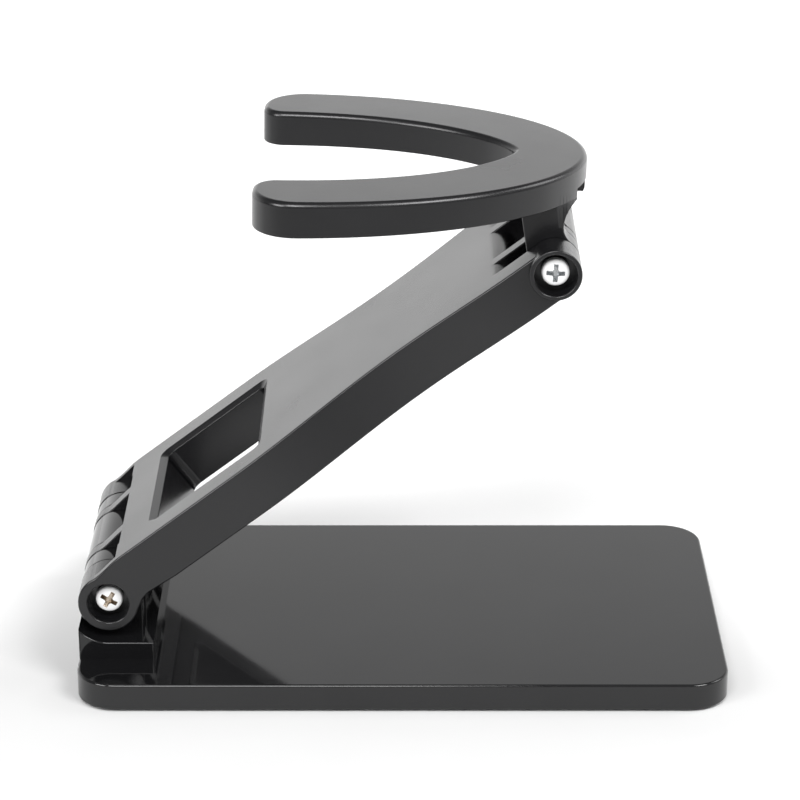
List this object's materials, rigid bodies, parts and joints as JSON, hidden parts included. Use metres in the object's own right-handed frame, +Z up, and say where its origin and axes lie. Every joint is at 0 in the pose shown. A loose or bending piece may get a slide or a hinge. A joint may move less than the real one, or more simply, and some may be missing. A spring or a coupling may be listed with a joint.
{
  "type": "phone stand",
  "caption": "Foldable desk stand for a phone: a flat base, a sloping arm with a window and a U-shaped holder plate, joined by screw-clamped friction hinges.",
  "frame": {"origin": "middle of the underside of the feet, on the surface the stand rests on", "axes": "+X along the base, away from its hinge; +Z up; +Y to the rear; symmetric about Y = 0"},
  "size_m": [0.12, 0.071, 0.0974],
  "materials": {
    "gloss_black": "polished injection-moulded ABS",
    "satin_black": "smooth satin injection-moulded ABS",
    "cover_black": "finely textured ABS",
    "foot_rubber": "matt silicone rubber",
    "nickel_steel": "nickel plate, warm tone",
    "zinc_steel": "bright zinc plate",
    "spring_steel": "plain spring steel",
    "brass": "turned brass"
  },
  "bodies": {
    "base": {"base_shell": "gloss_black", "base_bottom_cover": "cover_black", "foot_front_left": "foot_rubber", "foot_front_right": "foot_rubber", "foot_rear_left": "foot_rubber", "foot_rear_right": "foot_rubber", "lower_screw_front": "nickel_steel", "lower_screw_rear": "nickel_steel", "lower_spring_washer_front": "spring_steel", "lower_spring_washer_rear": "spring_steel", "lower_thread_insert_front": "brass", "lower_thread_insert_rear": "brass"},
    "arm": {"arm_shell": "satin_black", "arm_underside_cover": "cover_black"},
    "holder": {"holder_shell": "satin_black", "holder_cover_front": "cover_black", "holder_cover_rear": "cover_black", "upper_screw_front": "zinc_steel", "upper_screw_rear": "zinc_steel", "upper_spring_washer_front": "spring_steel", "upper_spring_washer_rear": "spring_steel", "upper_thread_insert_front": "brass", "upper_thread_insert_rear": "brass"}
  },
  "joints": [
    {"name": "arm_fold", "type": "hinge", "parent": "base", "child": "arm", "pos_m": [-0.0544, 0, 0.016], "axis": [0, -1, 0], "range_deg": [-37.4, 82.6]},
    {"name": "holder_tilt", "type": "hinge", "parent": "arm", "child": "holder", "pos_m": [0.0271, 0, 0.08014], "axis": [0, 1, 0], "range_deg": [-38.6, 71.4]}
  ]
}
